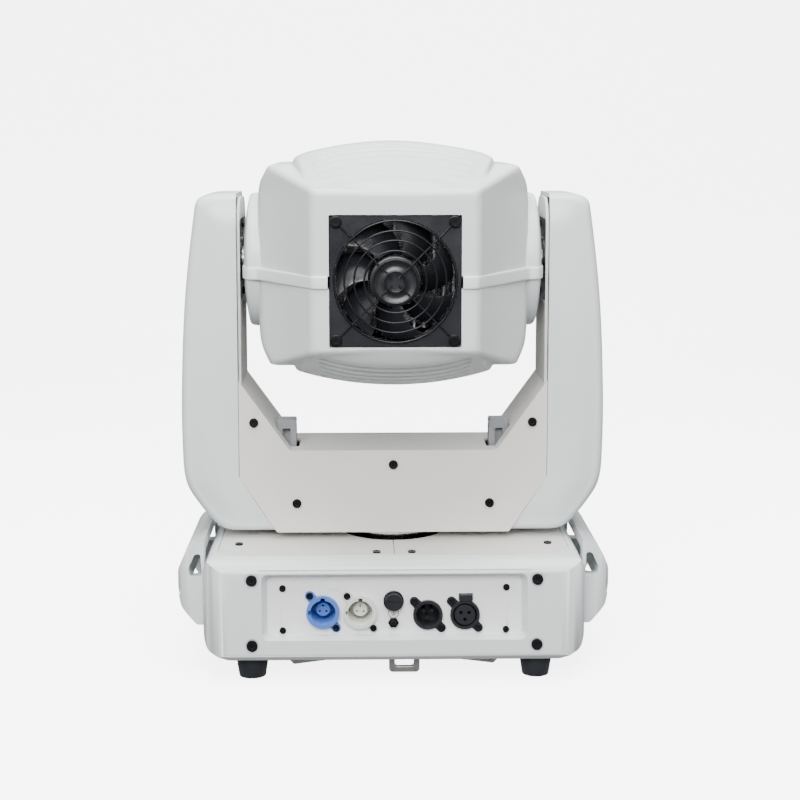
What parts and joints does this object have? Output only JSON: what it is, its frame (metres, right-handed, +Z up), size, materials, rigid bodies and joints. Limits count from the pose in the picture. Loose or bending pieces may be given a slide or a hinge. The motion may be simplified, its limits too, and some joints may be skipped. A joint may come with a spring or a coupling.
{
  "type": "moving head light",
  "caption": "Motorised stage light: a lamp head tilts between the arms of a yoke that pans on a flat base with sockets, handles and rubber feet.",
  "frame": {"origin": "on the floor, on the pan axis", "axes": "+Z up along the pan axis, +X along the tilt axis, -Y the socket and fan side, +Y where the lens points at rest"},
  "size_m": [0.326, 0.3003, 0.3987],
  "materials": {
    "shell_white": "light grey-white moulded shell, fine satin grain",
    "trim_white": "brighter white moulded trim",
    "steel_white": "warm white powder coat on sheet steel",
    "panel_white": "smooth white coated panel",
    "plastic_black": "black glass-filled plastic",
    "plastic_blue": "blue socket plastic",
    "plastic_pale": "off-white socket plastic",
    "plastic_grey": "mid grey moulded plastic",
    "screw_black": "black oxide screws",
    "zinc_steel": "zinc plated sheet steel",
    "aluminium": "machined aluminium",
    "rubber_black": "black rubber",
    "belt_rubber": "toothed belt rubber",
    "board_green": "circuit board",
    "screen_glass": "dark display window",
    "lens_glass": "clear front lens",
    "wheel_metal": "dark anodised wheel"
  },
  "bodies": {
    "base": {"base_shell": "shell_white", "base_plate": "steel_white", "top_plates": "steel_white", "connector_panel": "panel_white", "power_in_socket": "plastic_blue", "power_out_socket": "plastic_pale", "fuse_holder": "plastic_black", "data_in_socket": "plastic_black", "data_out_socket": "plastic_black", "base_screws": "screw_black", "side_handles": "shell_white", "feet": "rubber_black", "safety_eye": "zinc_steel", "omega_brackets": "zinc_steel", "display_bezel": "plastic_black", "display_screen": "screen_glass", "power_supply": "zinc_steel", "control_board": "board_green", "bearing_bridge": "zinc_steel", "pan_belt": "belt_rubber", "pan_motor": "plastic_black"},
    "yoke": {"pan_shaft": "aluminium", "pan_pulley": "aluminium", "yoke_frame": "steel_white", "yoke_screws": "screw_black", "cable_guides": "plastic_grey", "arm_cover_right": "shell_white", "arm_cover_left": "shell_white", "tilt_bearings": "plastic_black", "tilt_motor": "plastic_black", "tilt_belt": "belt_rubber"},
    "head": {"head_cover_top": "shell_white", "head_cover_bottom": "shell_white", "seam_band": "trim_white", "fan_frame": "plastic_black", "fan_guard": "screw_black", "head_screws": "screw_black", "tilt_shafts": "aluminium", "tilt_pulley": "aluminium", "head_chassis": "zinc_steel", "heat_sink": "aluminium", "led_engine": "plastic_black", "lens_barrel": "plastic_black", "front_lens": "lens_glass"},
    "fuse_cap": {"fuse_cap": "plastic_black"},
    "data_out_latch": {"data_out_latch": "plastic_black"},
    "menu_button_1": {"menu_button_1": "plastic_grey"},
    "menu_button_2": {"menu_button_2": "plastic_grey"},
    "menu_button_3": {"menu_button_3": "plastic_grey"},
    "menu_button_4": {"menu_button_4": "plastic_grey"},
    "quick_lock_1": {"quick_lock_1": "zinc_steel"},
    "quick_lock_2": {"quick_lock_2": "zinc_steel"},
    "quick_lock_3": {"quick_lock_3": "zinc_steel"},
    "quick_lock_4": {"quick_lock_4": "zinc_steel"},
    "pan_motor_pulley": {"pan_motor_pulley": "aluminium"},
    "tilt_motor_pulley": {"tilt_motor_pulley": "aluminium"},
    "fan_rotor": {"fan_rotor": "plastic_black"},
    "colour_wheel": {"colour_wheel": "wheel_metal"},
    "gobo_wheel": {"gobo_wheel": "wheel_metal"},
    "focus_carriage": {"focus_carriage": "plastic_black"}
  },
  "joints": [
    {"name": "pan", "type": "hinge", "parent": "base", "child": "yoke", "pos_m": [0, 0, 0.094], "axis": [0, 0, 1], "range_deg": [-270, 270]},
    {"name": "tilt", "type": "hinge", "parent": "yoke", "child": "head", "pos_m": [0, 0, 0.306], "axis": [1, 0, 0], "range_deg": [-45, 225]},
    {"name": "pan_motor_spin", "type": "hinge", "parent": "base", "child": "pan_motor_pulley", "pos_m": [0.064, 0.03, 0.066], "axis": [0, 0, 1], "range_deg": [-1080, 1080]},
    {"name": "tilt_motor_spin", "type": "hinge", "parent": "yoke", "child": "tilt_motor_pulley", "pos_m": [-0.1235, 0, 0.182], "axis": [1, 0, 0], "range_deg": [-135, 675]},
    {"name": "fan_spin", "type": "hinge", "parent": "head", "child": "fan_rotor", "pos_m": [0, -0.114, 0.2997], "axis": [0, 1, 0], "continuous": true},
    {"name": "colour_wheel_spin", "type": "hinge", "parent": "head", "child": "colour_wheel", "pos_m": [0.03, 0.0528, 0.33], "axis": [0, 1, 0], "continuous": true},
    {"name": "gobo_wheel_spin", "type": "hinge", "parent": "head", "child": "gobo_wheel", "pos_m": [0.03, 0.0608, 0.33], "axis": [0, 1, 0], "continuous": true},
    {"name": "focus", "type": "slide", "parent": "head", "child": "focus_carriage", "axis": [0, 1, 0], "range_m": [-0.003, 0.018]},
    {"name": "fuse_cap_turn", "type": "hinge", "parent": "base", "child": "fuse_cap", "pos_m": [-0.0007, -0.09, 0.0602], "axis": [0, 1, 0], "range_deg": [0, 90]},
    {"name": "latch_press", "type": "slide", "parent": "base", "child": "data_out_latch", "axis": [0, 1, 0], "range_m": [0, 0.0015], "stiffness_N_per_m": 400},
    {"name": "menu_press_1", "type": "slide", "parent": "base", "child": "menu_button_1", "axis": [0, -1, 0], "range_m": [0, 0.001], "stiffness_N_per_m": 400},
    {"name": "menu_press_2", "type": "slide", "parent": "base", "child": "menu_button_2", "axis": [0, -1, 0], "range_m": [0, 0.001], "stiffness_N_per_m": 400},
    {"name": "menu_press_3", "type": "slide", "parent": "base", "child": "menu_button_3", "axis": [0, -1, 0], "range_m": [0, 0.001], "stiffness_N_per_m": 400},
    {"name": "menu_press_4", "type": "slide", "parent": "base", "child": "menu_button_4", "axis": [0, -1, 0], "range_m": [0, 0.001], "stiffness_N_per_m": 400},
    {"name": "lock_turn_1", "type": "hinge", "parent": "base", "child": "quick_lock_1", "pos_m": [-0.09661, -0.04859, 0.014], "axis": [0, 0, 1], "range_deg": [0, 90]},
    {"name": "lock_turn_2", "type": "hinge", "parent": "base", "child": "quick_lock_2", "pos_m": [-0.01539, -0.01741, 0.014], "axis": [0, 0, 1], "range_deg": [0, 90]},
    {"name": "lock_turn_3", "type": "hinge", "parent": "base", "child": "quick_lock_3", "pos_m": [0.01539, -0.01741, 0.014], "axis": [0, 0, 1], "range_deg": [0, 90]},
    {"name": "lock_turn_4", "type": "hinge", "parent": "base", "child": "quick_lock_4", "pos_m": [0.09661, -0.04859, 0.014], "axis": [0, 0, 1], "range_deg": [0, 90]}
  ],
  "couplings": [
    {"joint": "pan_motor_spin", "follows": "pan", "ratio": 4},
    {"joint": "tilt_motor_spin", "follows": "tilt", "ratio": 3}
  ]
}
